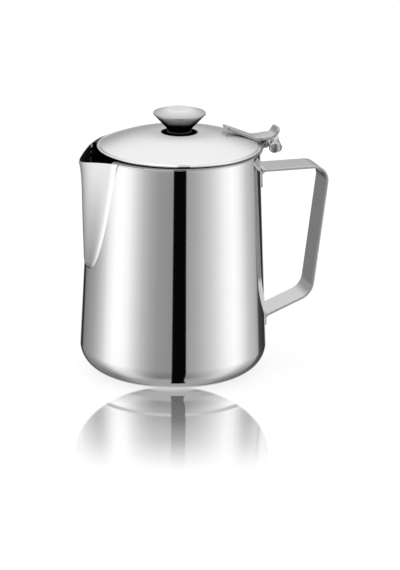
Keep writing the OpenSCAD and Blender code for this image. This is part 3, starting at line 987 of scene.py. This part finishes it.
def lever_tongue():
    """Behind the hinge the strap curls up into a round tongue."""
    curl_z = THUMB_AXIS_Z + THUMB_IN_R + LEVER_T / 2
    path = []
    for k in range(17):
        a = TONGUE_STEEP * k / 16
        path.append((TONGUE_BEND_R * sin(a), TONGUE_BEND_R * (1 - cos(a)), a, TONGUE_TAIL_L))
    bend_x, bend_z = path[-1][:2]
    for k in range(1, 13):
        gone = TONGUE_TAIL_L * k / 12
        x = bend_x + gone * cos(TONGUE_STEEP)
        path.append((x, bend_z + gone * sin(TONGUE_STEEP), TONGUE_STEEP, TONGUE_TAIL_L - gone))
    sections = []
    for x, z, a, left in path:
        over = max(0.0, TONGUE_END_R - left)
        half = THUMB_TONGUE_W / 2 - TONGUE_END_R + math.sqrt(max(0.0, TONGUE_END_R**2 - over**2))
        across = [half * (j / 10 - 1) for j in range(21)]
        loop = []
        for out, row in ((TONGUE_HALF_T, across), (-TONGUE_HALF_T, across[::-1])):
            loop += [(CURL_X + x - out * sin(a), y, curl_z + z + out * cos(a)) for y in row]
        sections.append(loop)
    return loft("tongue", sections)


def lobe_outline():
    """Side view of the saddle: each lobe is round and hangs from a neck at its outer side."""
    saddle_x = LOBE_X + LOBE_R * SADDLE_SHARE
    saddle_z = LOBE_Z + LOBE_R
    roof_z = THUMB_AXIS_Z + THUMB_IN_R + LEVER_T * ROOF_SHARE
    in_x = THUMB_X - LEVER_JOIN_L
    outline = arc(LOBE_X - LOBE_TRIM_BACK, LOBE_Z, LOBE_R, 115, 395, 40)
    outline += [(saddle_x, saddle_z + SADDLE_OUT_RISE), (saddle_x, roof_z), (in_x, roof_z)]
    outline += [(in_x, saddle_z + SADDLE_IN_RISE), (LOBE_X - LOBE_R * NECK_SHARE, saddle_z + NECK_RISE)]
    return outline


def lever_saddle():
    """The saddle under the strap is an arch that widens outwards, cut to the side view of its two lobes."""
    flare = [(0, 0), (0.15, 0.075), (0.3, 0.17), (0.45, 0.295), (0.6, 0.45), (0.72, 0.595), (0.82, 0.74)]
    flare += [(0.91, 0.87), (1, 1)]
    sections = []
    for a in range(-THUMB_HALF_ANGLE, THUMB_HALF_ANGLE + 1, 2):
        crown = smooth_step(CROWN_FULLNESS - abs(a) / CROWN_ANGLE)
        end_r = THUMB_LOBE_R + (THUMB_TIP_R - THUMB_LOBE_R) * crown
        rise = end_r - THUMB_IN_R
        inner = [(THUMB_X + (THUMB_TIP_X - THUMB_X) * f, THUMB_IN_R + rise * g) for f, g in flare]
        loop = [(x, (r + THUMB_T) * sin(a), THUMB_AXIS_Z + (r + THUMB_T) * cos(a)) for x, r in inner]
        loop += [(x, r * sin(a), THUMB_AXIS_Z + r * cos(a)) for x, r in inner[::-1]]
        sections.append(loop)
    saddle = loft("thumb", sections)
    return boolean(saddle, prism("lobe_trim", lobe_outline(), -0.05, 0.05, "y"), "INTERSECT")


def lobe_ball(side):
    """Each lobe ends in a flat ball."""
    ball = revolve("ball", [(0, -1)] + arc(0, 0, 1, -80, 80, 16) + [(0, 1)], steps=32)
    turn = Matrix.Rotation(math.radians(LOBE_TURN) * side, 4, "Z")
    aside = side * (THUMB_IN_R + THUMB_T * LOBE_ASIDE_SHARE)
    place = Matrix.Translation((LOBE_X - LOBE_BALL_BACK, aside, LOBE_Z - LOBE_BALL_DROP))
    ball.data.transform(place @ turn @ Matrix.Diagonal((LOBE_R, THUMB_T, LOBE_R, 1)))
    return ball


def lever_knuckle():
    top_z = LEVER_OVER_Z + LEVER_T / 2
    outline = arc(PIN_MID.x, PIN_MID.z, KNUCKLE_R, 180, 360, 24)
    outline += [(PIN_MID.x + KNUCKLE_R, top_z), (PIN_MID.x - KNUCKLE_R, top_z)]
    return prism("knuckle", outline, -KNUCKLE_W / 2, KNUCKLE_W / 2, "y")


def make_lever():
    parts = [lever_strap(), lever_tongue(), lever_saddle(), lever_knuckle(), lobe_ball(-1), lobe_ball(1)]
    lever = fuse("lid_lever_body", parts, LEVER_VOXEL, 16)
    bore = prism("bore", arc(PIN_MID.x, PIN_MID.z, PIN_R + PIN_PLAY, 0, 360, 47)[:-1], -0.01, 0.01, "y")
    boolean(lever, bore, "DIFFERENCE")
    return finish_piece(lever, "lid_assembly", LEVER_STEEL, ["lid_lever"], sharp=50)


# Knob


def make_cap():
    z = CAP_LOW.z
    h = CAP_HIGH.z - z
    corners = [(KNOB_R - 2 * KNOB_WALL, z), (KNOB_R, z), (KNOB_R, z + KNOB_EDGE_H)]
    corners += [(KNOB_TOP_R, z + h), (0, z + h), (0, z + h - KNOB_WALL)]
    corners += [(KNOB_TOP_R - KNOB_WALL / 2, z + h - KNOB_WALL)]
    outline = eased(corners, [0, 0.00008, 0.00010, 0.0005, 0, 0, 0.0003], 10)
    cap = revolve("knob_cap_shell", outline, LID_X, 192)
    # The satin dome shows no image of the knob
    cap.visible_glossy = False
    return finish_piece(cap, "lid_assembly", CAP_SATIN, ["knob_cap"], sharp=22)


def make_cone():
    z = CONE_LOW.z
    h = CONE_HIGH.z - z
    corners = [(SCREW_HOLE_R, z), (NECK_R, z), (NECK_R, z + KNOB_WALL), (KNOB_R, z + h - KNOB_EDGE_H)]
    corners += [(KNOB_R, z + h), (KNOB_R - 2 * KNOB_WALL, z + h)]
    corners += [(NECK_R - KNOB_WALL / 2, z + KNOB_WALL), (SCREW_HOLE_R, z + KNOB_WALL)]
    outline = eased(corners, [0, 0.0002, 0.0001, 0.00016, 0.00012, 0, 0, 0], 8)
    cone = revolve("knob_cone_shell", outline, LID_X, 192)
    cone.visible_glossy = False
    return finish_piece(cone, "lid_assembly", CONE_STEEL, ["knob_cone"], sharp=22)


def make_washer():
    r = WASHER_HIGH.y
    low, high = WASHER_LOW.z, WASHER_HIGH.z
    edge = (high - low) / 3
    outline = eased([(SCREW_HOLE_R, low), (r, low), (r, high), (SCREW_HOLE_R, high)], [0, edge, edge, 0])
    washer = revolve("knob_washer_disc", outline, LID_X, 96)
    washer.visible_glossy = False
    return finish_piece(washer, "lid_assembly", BLACK, ["knob_washer"], sharp=40)


def dress_hidden_nodes():
    """The small fittings inside the lid and the knob keep their CAD shape."""
    for node in ("knob_insert", "knob_screw", "screw_washer"):
        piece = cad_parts[node]
        piece.data.materials.clear()
        piece.data.materials.append(PLAIN)
        piece.visible_glossy = False


# Studio


def make_camera():
    data = bpy.data.cameras.new("camera")
    data.sensor_fit = "HORIZONTAL"
    data.sensor_width = SENSOR_MM
    data.lens = FOCAL_PX / PICTURE_W * SENSOR_MM
    data.shift_x = (PICTURE_W / 2 - AIM_PX[0]) / PICTURE_W
    data.shift_y = -(PICTURE_H / 2 - AIM_PX[1]) / PICTURE_W
    data.clip_start = 0.05
    data.clip_end = 60
    camera = bpy.data.objects.new("camera", data)
    back = Vector((
        sin(VIEW_AZIMUTH) * cos(VIEW_ELEVATION),
        -cos(VIEW_AZIMUTH) * cos(VIEW_ELEVATION),
        sin(VIEW_ELEVATION),
    ))
    camera.rotation_mode = "QUATERNION"
    turn = back.to_track_quat("Z", "Y").to_matrix() @ Matrix.Rotation(VIEW_ROLL, 3, "Z")
    camera.matrix_world = Matrix.Translation(AIM + back * VIEW_DISTANCE) @ turn.to_4x4()
    bpy.context.scene.collection.objects.link(camera)
    bpy.context.scene.camera = camera


# How light the studio is at each bearing from the camera's side, to the right as seen from there
BEARINGS = [
    (-180, 0.95), (-168, 0.90), (-164, 0.02), (-152, 0.04), (-147, 0.24), (-135, 0.29), (-120, 0.37),
    (-110, 0.48), (-100, 0.66), (-90, 0.93), (-80, 1.09), (-70, 1.09), (-60, 0.98), (-50, 0.74),
    (-40, 0.53), (-30, 0.40), (-20, 0.32), (-1.5, 0.28), (16.6, 0.34),
    (30, 0.43), (50, 0.66), (70, 0.98), (82, 1.08), (92, 0.98), (110, 0.60), (130, 0.42), (136, 0.06),
    (162, 0.02), (168, 0.80), (180, 0.95),
]
CEILING = 1.0
# Where the ceiling starts above the horizon: its height, its slope towards the camera, and how softly
CEILING_Z = 0.43
CEILING_SLOPE = 0.33
CEILING_SOFT = 0.40
BACK_WALL = 0.42
FRONT_WALL = 0.50
# Sideways reach of the black gap: its left edge, and its right edge at the horizon and straight down
GAP_LEFT = -0.018
GAP_RIGHT = 0.267
GAP_RIGHT_DOWN = 0.143
GAP_STRAIGHT_Z = 0.29
GAP_SOFT = 0.007
GAP_TONE = 0.002
# Where one tone gives way to the next: towards the camera, or up from straight down (-1) to straight up (1)
FRONT_EDGE = (-0.45, 0.40)
SCREEN_EDGE = (0.08, 0.16)
HORIZON_EDGE = (-0.16, -0.04)
LOW_EDGE = (-0.80, -0.30)
FLOOR_EDGE = (-0.96, -0.80)
# Below the horizon the screens darken to a share of their light, but never past a least tone
LOW_SHARE = 0.60
LOW_LEAST = 0.20
FLOOR_TONE = 0.38
# The table top's half width, its own grey, and the glow that brings it to white
TABLE_HALF_W = 12.0
TABLE_GREY = 0.32
TABLE_GLOW = 0.782
# The mirror's tone and strength in the table top, as shares of its reach in front of the jug's axis
MIRROR_TONE = [(0.0, 0.92), (0.28, 0.94), (0.40, 0.98), (0.50, 1.0), (1.0, 1.0)]
MIRROR_FADE = [(0.0, 0.86), (0.26, 0.86), (0.38, 0.81), (0.505, 0.60), (0.62, 0.22), (0.70, 0.0)]
MIRROR_REACH = 0.25
# The mirror patch is widest this far in front of the jug's axis and narrows to its foot as half an ellipse
MIRROR_FAR = 0.140
MIRROR_HALF_W = BODY_R * 0.955
MIRROR_EDGE = (0.97, 1.03)
MIRROR_ROUGH = 0.02

LAMP_SIZE = (1.6, 1.2)
LAMP_POWER = 3.0
LAMP_PLACE = Vector((-0.6, -0.9, 1.7))


def make_world():
    """A pale studio whose side screens darken towards the camera, with one black gap there."""
    world = bpy.data.worlds.new("studio")
    bpy.context.scene.world = world
    world.use_nodes = True
    n = Nodes(world.node_tree)
    out = n.add("ShaderNodeOutputWorld")
    background = n.add("ShaderNodeBackground")
    n.link(background.outputs[0], out.inputs[0])
    x, y, z = split_along_view(n, n.add("ShaderNodeTexCoord").outputs["Generated"])
    front = n.math("MULTIPLY", y, -1.0)
    bearing = n.math("ARCTAN2", x, front)
    share = n.remap(bearing, -math.pi, math.pi, 0.0, 1.0)
    screens = n.ramp(share, [((a + 180) / 360, level) for a, level in BEARINGS])
    # Above the horizon the studio is dark on the camera's side up to where the screens are mirrored
    side = n.remap(front, *FRONT_EDGE, 0.0, 1.0, smooth=True)
    band = n.remap(z, *SCREEN_EDGE, 0.0, 1.0, smooth=True)
    facing = n.mix(band, FRONT_WALL, screens)
    upper = n.mix(side, BACK_WALL, facing)
    horizon = n.remap(z, *HORIZON_EDGE, 0.0, 1.0, smooth=True)
    edge = n.math("ADD", n.math("MULTIPLY", front, CEILING_SLOPE), CEILING_Z)
    above = n.remap(n.math("SUBTRACT", z, edge), 0.0, CEILING_SOFT, 0.0, 1.0, smooth=True)
    below = n.remap(z, *FLOOR_EDGE, 1.0, 0.0, smooth=True)
    low_screens = n.math("MAXIMUM", n.math("MULTIPLY", screens, LOW_SHARE), LOW_LEAST)
    screens = n.mix(n.remap(z, *LOW_EDGE, 1.0, 0.0), screens, low_screens)
    walls = n.mix(horizon, screens, upper)
    whole = n.mix(below, n.mix(above, walls, CEILING), FLOOR_TONE)
    # The black gap narrows on its way down, so that its image runs straight down the body to a square end
    steep = n.math("POWER", n.remap(n.math("ABSOLUTE", z), GAP_STRAIGHT_Z, 1.0, 0.0, 1.0), 2.0)
    past_right = n.math("SUBTRACT", x, n.remap(steep, 0.0, 1.0, GAP_RIGHT, GAP_RIGHT_DOWN))
    gap = n.remap(x, GAP_LEFT - GAP_SOFT, GAP_LEFT + GAP_SOFT, 0.0, 1.0)
    gap = n.math("MULTIPLY", gap, n.remap(past_right, -GAP_SOFT, GAP_SOFT, 1.0, 0.0))
    gap = n.math("MULTIPLY", gap, n.remap(front, -0.02, 0.0, 0.0, 1.0))
    n.link(n.mix(gap, whole, GAP_TONE), background.inputs[0])
    background.inputs[1].default_value = 1.0


def mirror_share(n, x, front, reach):
    """How strongly the table top mirrors: a patch that fades out in front of the jug."""
    deep = n.math("DIVIDE", n.math("SUBTRACT", MIRROR_FAR, front), MIRROR_FAR - BASE_R)
    deep = n.math("POWER", n.math("MAXIMUM", deep, 0.0), 2.0)
    wide = n.math("POWER", n.math("DIVIDE", n.math("ABSOLUTE", x), MIRROR_HALF_W), 2.0)
    patch = n.remap(n.math("ADD", deep, wide), *MIRROR_EDGE, 1.0, 0.0)
    return n.math("MULTIPLY", n.ramp(reach, MIRROR_FADE), patch)


def table_top():
    """White and glossy: it mirrors the jug near its foot, and the mirror fades with distance."""
    material, n, out = start_material("floor_look")
    flat = n.add("ShaderNodeBsdfDiffuse")
    flat.inputs[0].default_value = (TABLE_GREY, TABLE_GREY, TABLE_GREY, 1)
    seen = n.add("ShaderNodeLightPath").outputs["Is Camera Ray"]
    glow = n.add("ShaderNodeEmission")
    n.link(n.math("MULTIPLY", seen, TABLE_GLOW), glow.inputs["Strength"])
    white = n.add("ShaderNodeAddShader")
    n.link(flat.outputs[0], white.inputs[0])
    n.link(glow.outputs[0], white.inputs[1])
    mirror = n.add("ShaderNodeBsdfGlossy")
    mirror.inputs["Roughness"].default_value = MIRROR_ROUGH
    x, y, _ = split_along_view(n, n.add("ShaderNodeTexCoord").outputs["Object"])
    front = n.math("MULTIPLY", y, -1.0)
    reach = n.remap(front, 0.0, MIRROR_REACH, 0.0, 1.0)
    n.link(n.ramp(reach, MIRROR_TONE), mirror.inputs["Color"])
    mix = n.add("ShaderNodeMixShader")
    n.link(mirror_share(n, x, front, reach), mix.inputs[0])
    n.link(white.outputs[0], mix.inputs[1])
    n.link(mirror.outputs[0], mix.inputs[2])
    n.link(mix.outputs[0], out.inputs[0])
    return material


def make_floor():
    half = TABLE_HALF_W
    corners = [(-half, -half, 0), (half, -half, 0), (half, half, 0), (-half, half, 0)]
    floor = make_object("floor", corners, [(0, 1, 2, 3)])
    floor.data.materials.append(table_top())
    # The steel doesn't mirror this floor: it mirrors the lower half of the studio instead
    floor.visible_glossy = False


def make_lamp():
    data = bpy.data.lights.new("softbox", "AREA")
    data.shape = "RECTANGLE"
    data.size, data.size_y = LAMP_SIZE
    data.energy = LAMP_POWER
    lamp = bpy.data.objects.new("softbox", data)
    turn = LAMP_PLACE.to_track_quat("Z", "Y").to_matrix().to_4x4()
    lamp.matrix_world = Matrix.Translation(LAMP_PLACE) @ turn
    bpy.context.scene.collection.objects.link(lamp)


make_camera()
make_body()
make_spout()
make_handle()
make_lid()
make_lid_ring()
make_bracket()
make_pin()
make_lever()
make_cap()
make_cone()
make_washer()
dress_hidden_nodes()
make_world()
make_floor()
make_lamp()
bpy.context.scene.view_settings.view_transform = "Standard"
